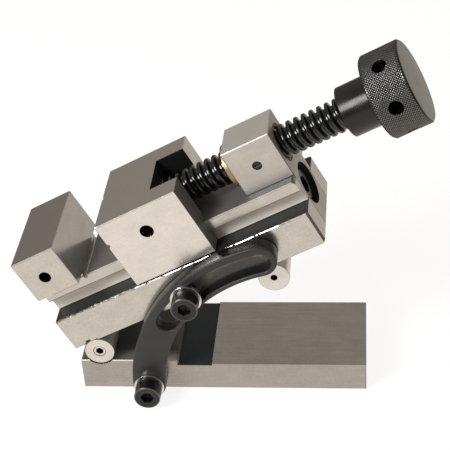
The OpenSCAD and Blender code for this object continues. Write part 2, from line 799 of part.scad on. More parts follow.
module lead_screw() {
    color(BLACK) on_vise() translate([0, 0, screw_z]) {
        translate([thread_u, 0, 0]) thread_solid();
        difference() {
            rod_x(pocket_u - nose_l, thread_u + cut, nose_d);
            rotate([0, 90, 0]) translate([0, 0, groove_u - groove_l / 2])
                washer(thread_d, nose_groove_d, groove_l);
        }
        rod_x(hub_u - cut, hub_u + shank_l, shank_d);
    }
}

module knob() {
    h = hub_d / 2;
    k = knob_d / 2;
    e = knob_edge;
    head_l = hub_l + knob_l;
    color(BLACK) on_vise() translate([hub_u, 0, screw_z]) difference() {
        rotate([0, 90, 0]) rotate_extrude(angle = 360)
            polygon([
                [0, 0], [h - e, 0], [h, e], [h, hub_l], [k - e, hub_l], [k, hub_l + e],
                [k, head_l - e], [k - e, head_l], [0, head_l]
            ]);
        rod_x(-cut, shank_l + pass_gap, shank_d + 2 * fit);
        for (i = [0:tommy_count - 1])
            translate([tommy_u - hub_u, 0, 0]) rotate([-tommy_turn - 360 * i / tommy_count, 0, 0])
                rod_y(-knob_d, tommy_depth - k, tommy_d);
    }
}

base_plate();
hinge_base_knuckle();
hinge_foot_screws();
hinge_pin();
arm_pivot_screw();
arm_pivot_washer();
slotted_arm();
vise_body();
hinge_front_knuckle();
hinge_rear_knuckle();
hinge_leaf_screws();
hinge_end_screws();
sine_roller();
sine_roller_screws();
nut_block();
nut_block_bolt();
bronze_nut();
nut_lock_screw();
arm_lock_screw();
arm_lock_washer();
movable_jaw();
retaining_pins();
thrust_washer();
lead_screw();
knob();
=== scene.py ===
"""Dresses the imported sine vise: finishes for its solids, finer pieces for the arm, screws and knob."""

import logging
import math
from dataclasses import dataclass, replace
from enum import Enum
from typing import ClassVar

import bmesh
import bpy
from mathutils import Matrix, Vector


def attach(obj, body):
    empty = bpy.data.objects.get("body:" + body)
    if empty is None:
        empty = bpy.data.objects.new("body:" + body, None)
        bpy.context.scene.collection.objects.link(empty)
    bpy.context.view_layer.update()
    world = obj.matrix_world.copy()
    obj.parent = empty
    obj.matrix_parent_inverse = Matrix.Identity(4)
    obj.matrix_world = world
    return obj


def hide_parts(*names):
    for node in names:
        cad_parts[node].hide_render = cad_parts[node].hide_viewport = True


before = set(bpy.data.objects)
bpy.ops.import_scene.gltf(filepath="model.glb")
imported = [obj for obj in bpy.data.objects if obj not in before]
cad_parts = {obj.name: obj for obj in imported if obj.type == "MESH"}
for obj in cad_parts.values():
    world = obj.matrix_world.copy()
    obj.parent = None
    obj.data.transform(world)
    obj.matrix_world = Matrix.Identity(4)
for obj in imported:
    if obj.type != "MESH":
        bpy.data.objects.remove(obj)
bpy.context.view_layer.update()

Rgba = tuple[float, float, float, float]
Shade = tuple[int, int, int]
Point = tuple[float, float, float]
Span = tuple[float, float]
Profile = list[Span]
Socket = bpy.types.NodeSocket

LOG = logging.getLogger("sine_vise")
MM = 0.001
PART = Matrix.Scale(MM, 4)
SHADER = "Principled BSDF"


def screen(red: int, green: int, blue: int) -> Rgba:
    """Turns a screen colour into the linear colour that a shader takes.

    Args:
        red: Red from 0 to 255.
        green: Green from 0 to 255.
        blue: Blue from 0 to 255.

    Returns:
        The linear colour with full alpha.
    """
    def one(level: int) -> float:
        """Linear value of one channel."""
        share = level / 255
        return share / 12.92 if share <= 0.04045 else ((share + 0.055) / 1.055) ** 2.4

    return one(red), one(green), one(blue), 1.0


@dataclass(frozen=True)
class VisePlace:
    """Where the tilted vise lies: X along its body, Y across it, Z up from its underside, in mm."""

    tilt: float = math.radians(27.2)
    hinge: Point = (-61.05, 0.0, 23.5)
    inset: float = 9.7
    drop: float = 6.6

    def matrix(self) -> Matrix:
        """Works out where the vise's own frame lies.

        Returns:
            The matrix that takes a point of the vise in mm to the part's frame in metres.
        """
        shift = Matrix.Translation((-self.inset, 0, self.drop))
        tilted = Matrix.Rotation(-self.tilt, 4, "Y")
        return PART @ Matrix.Translation(self.hinge) @ tilted @ shift


PLACE = VisePlace()
# Across the part, mm: front face of base and vise, seat of the heads of both arm screws
FRONT_Y = -25.0
HEAD_Y = -34.85
# Base plate in the part's frame, mm: tops of its heel and gauge land, pivot of the arm
HEEL_H = 17.7
LAND_H = 16.0
PIVOT_X = -36.25
PIVOT_H = 8.4
# Vise in its own frame, mm: places along it (U) and above its underside (H)
BODY_U = 70.0
BODY_REACH = 90.0
END_U = 141.5
HINGE_U = PLACE.inset
ROLLER_GAP = 100.0
SINE_U = HINGE_U + ROLLER_GAP
ROLLER_H = -PLACE.drop
LOCK_U = 70.0
LOCK_H = 7.0
SKIN_H = 18.4
LEDGE_H = 18.5
COVE_H = 26.3
BED_H = 32.0
HOLE_H = 44.0
SCREW_H = 44.3
TOP_H = 57.0
NUT_U = 128.85
KNOB_U = 200.3
KNOB_END_U = 210.5


class Grain(Enum):
    """Noise patterns, with their scale per mm."""

    LINES = {"Scale": 1.0, "Detail": 3.0}
    BLOTCH = {"Scale": 0.11, "Detail": 5.0}
    SPECK = {"Scale": 1.1, "Detail": 4.0}
    RAG = {"Scale": 0.9, "Detail": 6.0}
    RUB = {"Scale": 0.7, "Detail": 4.0}
    CLOUD = {"Scale": 0.16, "Detail": 5.0}
    TOOTH = {"Scale": 3.2, "Detail": 3.0}


class Nodes:
    """Short calls that add and link the nodes of one shader tree."""

    NOISE_MEAN = 0.5
    # Numbers of a Mix node's colour sockets
    COLOUR_A, COLOUR_B, COLOUR_OUT = 6, 7, 2

    def __init__(self, tree: bpy.types.NodeTree) -> None:
        """Keeps the tree that the calls work on."""
        self.tree = tree

    def feed(self, socket: Socket, value: object) -> None:
        """Links a socket to another one, or sets its number.

        Args:
            socket: The input to feed.
            value: An output socket, or a plain value.
        """
        if isinstance(value, Socket):
            self.tree.links.new(value, socket)
        else:
            socket.default_value = value

    def add(self, kind: str, inputs: dict[str | int, object] | None = None,
            **settings: object) -> bpy.types.Node:
        """Adds one node.

        Args:
            kind: Node type without its ShaderNode prefix.
            inputs: Values or sockets by input name or number.
            settings: The node's own options.

        Returns:
            The new node.
        """
        node = self.tree.nodes.new("ShaderNode" + kind)
        for key, value in settings.items():
            setattr(node, key, value)
        for key, value in (inputs or {}).items():
            self.feed(node.inputs[key], value)
        return node

    def math(self, operation: str, a: object, b: object = 0.0, clamp: bool = False) -> Socket:
        """Adds a Math node and returns its output, which a clamp keeps from 0 to 1."""
        return self.add("Math", {0: a, 1: b}, operation=operation, use_clamp=clamp).outputs[0]

    def vector(self, operation: str, a: object, b: object = (0.0, 0.0, 0.0), out: str = "Vector") -> Socket:
        """Adds a Vector Math node and returns the output of that name."""
        return self.add("VectorMath", {0: a, 1: b}, operation=operation).outputs[out]

    def scaled(self, a: object, factor: object) -> Socket:
        """Multiplies a vector by a value and returns the result."""
        return self.add("VectorMath", {0: a, "Scale": factor}, operation="SCALE").outputs[0]

    def split(self, a: object) -> bpy.types.NodeOutputs:
        """Splits a vector and returns its X, Y and Z."""
        return self.add("SeparateXYZ", {0: a}).outputs

    def noise(self, place: object, grain: Grain) -> Socket:
        """Adds a Noise Texture and returns its value, moved to lie about zero."""
        texture = self.add("TexNoise", {"Vector": place, **grain.value})
        return self.math("SUBTRACT", texture.outputs[0], self.NOISE_MEAN)

    def ranged(self, value: object, low: object, high: object, start: float = 0.0,
               end: float = 1.0) -> Socket:
        """Maps a value from low and high to start and end, smoothly, and returns the result."""
        inputs = {0: value, 1: low, 2: high, 3: start, 4: end}
        return self.add("MapRange", inputs, interpolation_type="SMOOTHSTEP").outputs[0]

    def mix(self, share: object, a: object, b: object, blend: str = "MIX") -> Socket:
        """Blends a share of colour b into colour a and returns the result."""
        inputs = {0: share, self.COLOUR_A: a, self.COLOUR_B: b}
        return self.add("Mix", inputs, data_type="RGBA", blend_type=blend).outputs[self.COLOUR_OUT]


class GroupKind(Enum):
    """The effects that materials share: name, inputs and outputs."""

    VISE_PLACE = ("vise_place", (), ("Vector",))
    GRIND = ("grind_marks", ("Vector", "Streak", "Mottle"), ("Shade", "Rough", "Height"))
    # SCALE masks any patch: black scale, marks, bare metal, painted shade and painted highlights
    SCALE = ("patch_mask", ("Vector", "Centre", "Half", "Rag", "Soft"), ("Mask",))
    EDGE_WEAR_AND_HIGHLIGHT = ("edge_wear_and_highlight", ("Vector", "Radius"), ("Mask", "Normal"))
    OXIDE = ("oxide_mottle", ("Vector", "Cloud"), ("Shade", "Rough", "Height"))
    RING = ("ring_mask", ("Vector", "Centre", "Across", "Inner", "Outer"), ("Mask",))


class Groups:
    """Shader node groups, each made once."""

    VECTORS = ("Vector", "Centre", "Half", "Rag", "Across", "Normal")
    LINE_STRETCH: Point = (0.05, 2.6, 2.6)
    GRIND_ROUGH = -0.5
    BENT: Span = (0.995, 0.90)
    RUB_BAND: Span = (-0.2, 0.1)
    RUB_LEAST = 0.25
    TOOTH_SHARE = 0.4
    OXIDE_ROUGH = 0.35
    RING_SOFT = 0.08
    BEVEL_SAMPLES = 4

    def __init__(self) -> None:
        """Makes every group."""
        self.trees: dict[GroupKind, bpy.types.NodeTree] = {}
        for make in (self.vise_place, self.grind, self.scale, self.wear, self.oxide, self.ring):
            make()

    def start(self, kind: GroupKind) -> tuple[Nodes, dict[str, Socket], dict[str, Socket]]:
        """Makes an empty group with its sockets.

        Args:
            kind: Which group it is.

        Returns:
            The node calls, the inputs by name and the output node's inputs by name.
        """
        title, inputs, outputs = kind.value
        tree = bpy.data.node_groups.new(title, "ShaderNodeTree")
        for way, names in (("INPUT", inputs), ("OUTPUT", outputs)):
            for name in names:
                socket = "NodeSocketVector" if name in self.VECTORS else "NodeSocketFloat"
                tree.interface.new_socket(name, in_out=way, socket_type=socket)
        entry = tree.nodes.new("NodeGroupInput")
        leave = tree.nodes.new("NodeGroupOutput")
        self.trees[kind] = tree
        return Nodes(tree), {s.name: s for s in entry.outputs}, {s.name: s for s in leave.inputs}

    def vise_place(self) -> None:
        """Surface place in the tilted vise's own frame, in mm."""
        nodes, _, leave = self.start(GroupKind.VISE_PLACE)
        here = nodes.add("TexCoord").outputs["Object"]
        hinge = tuple(value * MM for value in PLACE.hinge)
        local = nodes.vector("SUBTRACT", here, hinge)
        turned = nodes.add("VectorRotate", {"Vector": local, "Angle": PLACE.tilt}, rotation_type="Y_AXIS")
        sized = nodes.scaled(turned.outputs[0], 1 / MM)
        nodes.feed(leave["Vector"], nodes.vector("ADD", sized, (PLACE.inset, 0, -PLACE.drop)))

    def grind(self) -> None:
        """Long fine grinding lines along X and soft blotches."""
        nodes, entry, leave = self.start(GroupKind.GRIND)
        lines = nodes.vector("MULTIPLY", entry["Vector"], self.LINE_STRETCH)
        streak = nodes.noise(lines, Grain.LINES)
        blotch = nodes.noise(entry["Vector"], Grain.BLOTCH)
        speck = nodes.noise(entry["Vector"], Grain.SPECK)
        lined = nodes.math("MULTIPLY", streak, entry["Streak"])
        spotted = nodes.math("MULTIPLY", nodes.math("ADD", blotch, speck), entry["Mottle"])
        both = nodes.math("ADD", lined, spotted)
        nodes.feed(leave["Shade"], nodes.math("ADD", both, 1.0))
        nodes.feed(leave["Rough"], nodes.math("MULTIPLY", both, self.GRIND_ROUGH))
        nodes.feed(leave["Height"], streak)

    def scale(self) -> None:
        """Mask of a box with a ragged border: black scale, marks, bare metal, painted shade and highlights.
        """
        nodes, entry, leave = self.start(GroupKind.SCALE)
        offset = nodes.vector("SUBTRACT", entry["Vector"], entry["Centre"])
        past = nodes.vector("SUBTRACT", nodes.vector("ABSOLUTE", offset), entry["Half"])
        torn = nodes.scaled(entry["Rag"], nodes.noise(entry["Vector"], Grain.RAG))
        edge = nodes.split(nodes.vector("ADD", past, torn))
        far = nodes.math("MAXIMUM", edge[0], nodes.math("MAXIMUM", edge[1], edge[2]))
        low = nodes.math("MULTIPLY", entry["Soft"], -1.0)
        nodes.feed(leave["Mask"], nodes.ranged(far, low, entry["Soft"], 1.0, 0.0))

    # On ground steel this mask paints edges lighter: partly wear, partly a painted highlight
    def wear(self) -> None:
        """Mask of lightened edges, wear and partly painted highlight, and the normal that rounds them."""
        nodes, entry, leave = self.start(GroupKind.EDGE_WEAR_AND_HIGHLIGHT)
        bevel = nodes.add("Bevel", {"Radius": entry["Radius"]}, samples=self.BEVEL_SAMPLES)
        round_normal = bevel.outputs[0]
        normal = nodes.add("NewGeometry").outputs["Normal"]
        bent = nodes.ranged(nodes.vector("DOT_PRODUCT", round_normal, normal, "Value"), *self.BENT)
        patchy = nodes.ranged(nodes.noise(entry["Vector"], Grain.RUB), *self.RUB_BAND, self.RUB_LEAST)
        nodes.feed(leave["Mask"], nodes.math("MULTIPLY", bent, patchy))
        nodes.feed(leave["Normal"], round_normal)

    def oxide(self) -> None:
        """Cloudy shade and fine tooth of blackened steel."""
        nodes, entry, leave = self.start(GroupKind.OXIDE)
        cloud = nodes.noise(entry["Vector"], Grain.CLOUD)
        tooth = nodes.noise(entry["Vector"], Grain.TOOTH)
        mottle = nodes.math("ADD", cloud, nodes.math("MULTIPLY", tooth, self.TOOTH_SHARE))
        both = nodes.math("MULTIPLY", mottle, entry["Cloud"])
        nodes.feed(leave["Shade"], nodes.math("ADD", both, 1.0))
        nodes.feed(leave["Rough"], nodes.math("MULTIPLY", both, self.OXIDE_ROUGH))
        nodes.feed(leave["Height"], tooth)

    def ring(self) -> None:
        """Mask of what lies between two distances from an axis."""
        nodes, entry, leave = self.start(GroupKind.RING)
        offset = nodes.vector("SUBTRACT", entry["Vector"], entry["Centre"])
        radius = nodes.vector("LENGTH", nodes.vector("MULTIPLY", offset, entry["Across"]), out="Value")
        past = nodes.math("SUBTRACT", radius, entry["Inner"])
        short = nodes.math("SUBTRACT", entry["Outer"], radius)
        inside = nodes.math("MINIMUM", past, short)
        nodes.feed(leave["Mask"], nodes.ranged(inside, -self.RING_SOFT, self.RING_SOFT))


class Frame(Enum):
    """The frame that a finish takes its places from."""

    PART = "part"
    VISE = "vise"


@dataclass(frozen=True)
class Patch:
    """A box, in mm, where a finish changes, or only a ring about its centre in that box."""

    what: str
    centre: Point
    half: Point
    colour: Shade = (36, 38, 36)
    share: float = 1.0
    rag: Point = (0.0, 0.0, 0.0)
    soft: float = 0.05
    across: Point | None = None
    radii: Span = (0.0, 0.0)


def mirrored(patch: Patch) -> tuple[Patch, Patch]:
    """Gives a patch and its mirror image on the other side of the vise."""
    along, across, up = patch.centre
    return patch, replace(patch, centre=(along, -across, up))


class Sheet:
    """One material while it is made: its nodes, its shader and the place on the surface in mm."""

    def __init__(self, groups: Groups, name: str, place: Frame) -> None:
        """Starts the material.

        Args:
            groups: The shared groups.
            name: The material's name.
            place: The frame of its places.
        """
        self.groups = groups
        self.material = bpy.data.materials.new(name)
        self.material.use_nodes = True
        self.nodes = Nodes(self.material.node_tree)
        self.shader = self.material.node_tree.nodes[SHADER]
        if place is Frame.VISE:
            self.here = self.nodes.add("Group", node_tree=groups.trees[GroupKind.VISE_PLACE]).outputs[0]
        else:
            self.here = self.nodes.scaled(self.nodes.add("TexCoord").outputs["Object"], 1 / MM)

    def group(self, kind: GroupKind, label: str = "", **inputs: object) -> bpy.types.NodeOutputs:
        """Puts a shared group into the material, with a label and its inputs, and returns its outputs."""
        inputs["Vector"] = self.here
        return self.nodes.add("Group", inputs, node_tree=self.groups.trees[kind], label=label).outputs

    def shaded(self, colour: object, marks: bpy.types.NodeOutputs) -> Socket:
        """Multiplies a colour by the shade of some marks and returns the result."""
        shade = self.nodes.add("CombineColor", {channel: marks["Shade"] for channel in range(3)})
        return self.nodes.mix(1.0, colour, shade.outputs[0], "MULTIPLY")

    def mask(self, box: Patch) -> Socket:
        """Makes the mask of one patch.

        Args:
            box: The patch.

        Returns:
            The mask, as high as the patch's share.
        """
        inputs = {"Centre": box.centre, "Half": box.half, "Rag": box.rag, "Soft": box.soft}
        one = self.group(GroupKind.SCALE, box.what, **inputs)["Mask"]
        if box.across:
            inner, outer = box.radii
            inputs = {"Centre": box.centre, "Across": box.across, "Inner": inner, "Outer": outer}
            one = self.nodes.math("MULTIPLY", one, self.group(GroupKind.RING, box.what, **inputs)["Mask"])
        return one if box.share == 1.0 else self.nodes.math("MULTIPLY", one, box.share)

    def cover(self, boxes: tuple[Patch, ...], under: object) -> tuple[object, Socket]:
        """Lays patches over a colour.

        Args:
            boxes: The patches, at least one.
            under: The colour that they lie on.

        Returns:
            The new colour, and the joined mask of the patches.
        """
        masks = [self.mask(box) for box in boxes]
        for box, mask in zip(boxes, masks):
            under = self.nodes.mix(mask, under, screen(*box.colour))
        joined = masks[0]
        for mask in masks[1:]:
            joined = self.nodes.math("MAXIMUM", joined, mask)
        return under, joined

    def bump(self, height: object, depth: float, normal: object) -> Socket:
        """Bends a normal by a height and its depth in mm, and returns the result."""
        inputs = {"Strength": 1.0, "Distance": depth * MM, "Height": height, "Normal": normal}
        return self.nodes.add("Bump", inputs).outputs[0]

    def finish(self, metal: object, colour: object, rough: object, normal: object) -> bpy.types.Material:
        """Feeds the shader.

        Args:
            metal: How far it is bare metal.
            colour: Its colour.
            rough: Its roughness.
            normal: Its normal.

        Returns:
            The finished material.
        """
        values = {"Metallic": metal, "Base Color": colour, "Roughness": rough, "Normal": normal}
        for name, value in values.items():
            self.nodes.feed(self.shader.inputs[name], value)
        return self.material


@dataclass(frozen=True)
class Cove:
    """A wall whose foot runs out in a hollow curve, from its top down to its foot, in mm."""

    wall: Patch
    top: float = COVE_H
    foot: float = LEDGE_H
    slope: float = 0.54
    roughness: float = 0.25

    def bend(self, sheet: Sheet, rough: object, normal: object) -> tuple[Socket, Socket]:
        """Bends the wall's normal as its hollow foot would.

        Args:
            sheet: The material.
            rough: The roughness so far.
            normal: The normal so far.

        Returns:
            The new roughness and normal.
        """
        nodes = sheet.nodes
        mask = sheet.mask(self.wall)
        down = nodes.math("SUBTRACT", self.top, nodes.split(sheet.here)[2])
        steep = self.slope / 2 / (self.top - self.foot)
        curve = nodes.math("MULTIPLY", nodes.math("MULTIPLY", down, down), steep)
        bent = sheet.bump(nodes.math("MULTIPLY", curve, mask), 1.0, normal)
        return nodes.math("ADD", rough, nodes.math("MULTIPLY", mask, self.roughness), clamp=True), bent


@dataclass(frozen=True)
class GroundSteel:
    """Ground steel with grinding lines, black scale where left unground, marks, painted shade and
    highlights.
    """

    name: str
    place: Frame
    colour: Shade = (203, 202, 199)
    roughness: float = 0.2
    streak: float = 0.14
    mottle: float = 0.22
    line_depth: float = 0.005
    # Patches over the steel: black scale, stains, chips and joints, and also painted shade and painted
    # highlights
    scale: tuple[Patch, ...] = ()
    scale_rough: float = 0.3
    scale_dull: float = 0.9
    coves: tuple[Cove, ...] = ()
    # Edges are lightened towards edge_colour: partly wear, partly a painted highlight
    edge_radius: float = 0.12
    edge_share: float = 0.4
    edge_colour: Shade = (240, 236, 230)

    def make(self, groups: Groups) -> bpy.types.Material:
        """Makes the material.

        Args:
            groups: The shared groups.

        Returns:
            The material.
        """
        sheet = Sheet(groups, self.name, self.place)
        nodes = sheet.nodes
        grind = sheet.group(GroupKind.GRIND, Streak=self.streak, Mottle=self.mottle)
        wear = sheet.group(GroupKind.EDGE_WEAR_AND_HIGHLIGHT, Radius=self.edge_radius * MM)
        # Lightens every edge: partly wear, partly a painted edge highlight
        worn_and_highlit_edges = nodes.math("MULTIPLY", wear["Mask"], self.edge_share)
        ground = sheet.shaded(screen(*self.colour), grind)
        steel: object = nodes.mix(worn_and_highlit_edges, ground, screen(*self.edge_colour))
        rough = nodes.math("ADD", grind["Rough"], self.roughness, clamp=True)
        normal = sheet.bump(grind["Height"], self.line_depth, wear["Normal"])
        metal: object = 1.0
        if self.scale:
            steel, mask = sheet.cover(self.scale, steel)
            rough = nodes.math("ADD", rough, nodes.math("MULTIPLY", mask, self.scale_rough), clamp=True)
            metal = nodes.math("SUBTRACT", 1.0, nodes.math("MULTIPLY", mask, self.scale_dull))
        for cove in self.coves:
            rough, normal = cove.bend(sheet, rough, normal)
        return sheet.finish(metal, steel, rough, normal)


@dataclass(frozen=True)
class BlackSteel:
    """Blackened steel: cloudy black with worn edges, bare metal in patches and painted shade in bores."""

    name: str
    place: Frame
    colour: Shade = (52, 52, 54)
    roughness: float = 0.38
    cloud: float = 0.5
    tooth_depth: float = 0.004
    rub_radius: float = 0.5
    rub_share: float = 0.5
    rub_colour: Shade = (150, 148, 144)
    bare: tuple[Patch, ...] = ()
    dark: tuple[Patch, ...] = ()
    gloss: float = 1.5
    sheen: Rgba = (0.88, 0.96, 1.0, 1.0)

    def make(self, groups: Groups) -> bpy.types.Material:
        """Makes the material.

        Args:
            groups: The shared groups.

        Returns:
            The material.
        """
        sheet = Sheet(groups, self.name, self.place)
        nodes = sheet.nodes
        oxide = sheet.group(GroupKind.OXIDE, Cloud=self.cloud)
        wear = sheet.group(GroupKind.EDGE_WEAR_AND_HIGHLIGHT, Radius=self.rub_radius * MM)
        metal = nodes.math("MULTIPLY", wear["Mask"], self.rub_share)
        black: object = nodes.mix(metal, screen(*self.colour), screen(*self.rub_colour))
        if self.bare:
            black, mask = sheet.cover(self.bare, black)
            metal = nodes.math("MAXIMUM", metal, mask)
        if self.dark:
            black, mask = sheet.cover(self.dark, black)
            metal = nodes.math("SUBTRACT", metal, mask, clamp=True)
        sheet.shader.inputs["IOR"].default_value = self.gloss
        sheet.shader.inputs["Specular Tint"].default_value = self.sheen
        rough = nodes.math("ADD", oxide["Rough"], self.roughness, clamp=True)
        normal = sheet.bump(oxide["Height"], self.tooth_depth, wear["Normal"])
        return sheet.finish(metal, sheet.shaded(black, oxide), rough, normal)


# DEEP: near black, painted shade in holes, sockets, seats and gaps, and the dark of tight joints
DEEP: Shade = (9, 9, 9)
# Near white: chipped metal on the ledge's edge, and a painted highlight on the heel's edge
CHIP_AND_HIGHLIGHT: Shade = (250, 248, 244)
BRIGHT: Shade = (226, 225, 222)
ROUND_Y: Point = (1.0, 0.0, 1.0)
ROUND_X: Point = (0.0, 1.0, 1.0)
RING_DEPTH = 0.4
RING_MARGIN = 1.0
COVE_WALL = Patch("cove", (BODY_U, -14, 22.45), (BODY_REACH, 0.6, 3.8))


def end_ring(what: str, along: float, radii: Span, share: float) -> Patch:
    """Makes a dark ring on the front end of the roller at a place along the vise."""
    half = (radii[1] + RING_MARGIN, RING_DEPTH, radii[1] + RING_MARGIN)
    return Patch(what, (along, FRONT_Y, ROLLER_H), half, DEEP, share, across=ROUND_Y, radii=radii)


class Finish(Enum):
    """The finishes of the vise."""

    BASE = GroundSteel(
        "base_ground", Frame.PART, (174, 173, 170), roughness=0.25, streak=0.35, mottle=0.2,
        scale=(
            # Painted shade: darkens the heel's top where it lies under the tilted vise
            Patch("heel", (-43, 0, HEEL_H), (23, 20, 9), (40, 39, 36), 0.95, soft=6.5),
            Patch("recess", (-13.9, 0, 15.6), (8.7, 30, 0.9), (27, 43, 50)),
            # Painted highlight: a light line along the heel's front top edge
            Patch("heel edge", (-47, FRONT_Y, HEEL_H), (24.5, 0.45, 0.45), CHIP_AND_HIGHLIGHT, 0.8),
            Patch("land edge", (33, FRONT_Y, LAND_H), (38, 0.35, 0.35), (90, 85, 78), 0.6),
            Patch("end edge", (70.7, FRONT_Y, 8), (0.15, 0.3, 7.7), (100, 95, 90), 0.5),
        ),
    )
    BODY = GroundSteel(
        "body_ground", Frame.VISE, streak=0.2, mottle=0.25,
        scale=(
            # Painted shade: darkens the whole top of the bed, standing in for the dark jaws and screw it
            # mirrors
            Patch("bed", (BODY_U, 0, BED_H), (BODY_REACH, 40, 0.2), (60, 62, 58), 0.75),
            *mirrored(Patch("chips", (41, -24.4, SKIN_H), (21, 0.9, 0.3), CHIP_AND_HIGHLIGHT, 0.8, rag=(24, 0, 0.9))),
            *mirrored(Patch("ledge", (BODY_U, -16.9, SKIN_H), (BODY_REACH, 7.5, 0.4), rag=(0, 6, 0))),
            *mirrored(replace(COVE_WALL, what="oiled cove", colour=(176, 156, 116), share=0.18)),
            Patch(
                "left edge", (20, FRONT_Y, LEDGE_H), (27, 0.45, 0.45), (70, 66, 60), 0.8,
                rag=(20, 1.5, 1.5)),
            Patch(
                "right edge", (136, FRONT_Y, LEDGE_H), (11, 0.45, 0.45), (160, 153, 142), 0.85,
                rag=(20, 0.9, 0.9)),
            Patch("bed edge", (BODY_U, -17.1, 31.9), (BODY_REACH, 0.5, 0.5), (150, 144, 134), 0.75),
            Patch("jaw edge", (12, FRONT_Y, TOP_H), (13, 0.5, 0.5), (130, 124, 115), 0.75),
            # Painted shadow: a dark line under the flange's lower edge
            Patch("rail foot", (BODY_U, -17.25, COVE_H), (BODY_REACH, 0.3, 0.3), (40, 38, 34), 0.7),
            *mirrored(Patch("end edge", (END_U, FRONT_Y, 9.2), (1.06, 1.06, 9.4), (50, 46, 40), 0.85)),
            # Painted shadow: darkens the body's front behind the arm and its slot, where the arm shades it
            # at rest
            Patch("arm shadow", (92, FRONT_Y, 9), (18, 8, 4), (46, 45, 43), 0.75, rag=(6, 0, 3), soft=6),
            # Painted shade in the gaps where the rollers sit in their seats
            Patch("hinge seat", (HINGE_U, 0, 0.45), (3.75, 26, 0.46), DEEP),
            Patch("sine seat", (SINE_U, 0, 0.45), (3.75, 26, 0.46), DEEP),
            # Painted shade inside the side hole
            Patch("side hole", (11.5, -18.2, HOLE_H), (3.2, 6.6, 3.2), DEEP),
        ),
        coves=tuple(Cove(wall) for wall in mirrored(COVE_WALL)),
    )
    JAW = GroundSteel(
        "jaw_ground", Frame.VISE, BRIGHT, roughness=0.24, mottle=0.18,
        scale=(
            Patch("top edge", (80, FRONT_Y, TOP_H), (30, 0.5, 0.5), (140, 134, 125), 0.75),
            Patch("right face", (93.1, -19, 38), (0.25, 6.5, 19.5), (62, 60, 56), 0.85),
            Patch("slot", (90, 0, 46), (12.05, 12.75, 13.5), (13, 13, 14)),
            # Painted shade inside the side hole
            Patch("side hole", (70.1, -18.2, HOLE_H), (3.5, 6.6, 3.5), DEEP),
        ),
    )
    NUT_BLOCK = GroundSteel(
        "nut_block_ground", Frame.VISE, (208, 207, 204), roughness=0.5, edge_radius=0.2,
        scale=(
            Patch("top", (NUT_U, 0, TOP_H), (12.6, 11.2, 0.2), (206, 202, 195), 0.3),
            # Painted shade inside the counterbore and the grub screw's hole
            Patch("counterbore", (135.4, 0, 19.2), (6.0, 10.75, 10.75), (20, 20, 23)),
            Patch("grub hole", (NUT_U, -10.4, SCREW_H), (2.4, 1.1, 2.4), DEEP),
            Patch("foot joint", (NUT_U, 0, BED_H), (12.6, 11.7, 0.45), DEEP, 0.85),
            Patch("right edge", (END_U, -11.5, 44.5), (0.35, 0.35, 12.6), (60, 54, 48), 0.7),
            *mirrored(Patch("end joint", (END_U, -11.5, 16), (0.3, 0.3, 15.9), DEEP, 0.85)),
        ),
    )
    ROLLER = GroundSteel(
        "roller_ground", Frame.VISE, BRIGHT, roughness=0.25,
        scale=(
            # Painted shade: darkens the hinge knuckle's barrel under the body
            Patch("hinge barrel", (HINGE_U, 0, ROLLER_H), (9, 24.5, 9), (58, 58, 56), 0.65),
            Patch("sine end", (SINE_U, FRONT_Y, ROLLER_H), (9, 0.3, 9), (232, 236, 244), 0.3),
            # Painted shade in the end screw's socket and the sine roller's hole
            Patch("hinge socket", (HINGE_U, -21.6, ROLLER_H), (2.6, 2.8, 2.6), DEEP),
            Patch("sine hole", (SINE_U, -21.6, ROLLER_H), (3.2, 2.8, 3.2), DEEP),
            end_ring("end screw joint", HINGE_U, (2.85, 3.25), 0.8),
            # Painted shade: dark rings in the gaps round the rollers' front ends
            end_ring("hinge rim", HINGE_U, (7.25, 9.0), 0.8),
            end_ring("sine rim", SINE_U, (7.3, 9.0), 0.4),
        ),
    )
    BASE_FITTING = GroundSteel("base_fitting_ground", Frame.PART, (205, 204, 201))
    WASHER = GroundSteel("washer_bright", Frame.PART, BRIGHT, edge_radius=0.3)
    BRONZE = GroundSteel(
        "bronze_turned", Frame.VISE, (178, 156, 114), roughness=0.45, streak=0.2,
        scale=(Patch("end", (END_U, 0, SCREW_H), (0.6, 14, 14), (126, 119, 108), 0.6),),
    )
    OILED_BRONZE = GroundSteel("bronze_oiled", Frame.VISE, (74, 60, 44), roughness=0.4)
    ARM = BlackSteel("arm_black", Frame.PART, (46, 46, 46), rub_share=0.2)
    ARM_RIM = GroundSteel(
        "arm_rim_worn", Frame.PART, (86, 84, 80), roughness=0.3, streak=0.3, mottle=0.4,
    )
    ARM_SLOT = BlackSteel("arm_slot_black", Frame.PART, (20, 20, 20), roughness=0.5, rub_share=0.1)
    CAP_SCREW = BlackSteel(
        "cap_screw_black", Frame.PART, (22, 22, 23), roughness=0.22, rub_share=0.4, rub_radius=0.12,
        rub_colour=(176, 172, 164),
    )
    SCREW_RIM = GroundSteel("screw_rim_worn", Frame.PART, (112, 111, 108), roughness=0.4)
    FITTING = BlackSteel("fitting_black", Frame.VISE, (18, 18, 21), roughness=0.22)
    THREAD = BlackSteel(
        "thread_black", Frame.VISE, (14, 14, 15), roughness=0.12, rub_share=0.12, rub_radius=0.15,
        gloss=1.62, sheen=(0.93, 0.98, 1.0, 1.0),
    )
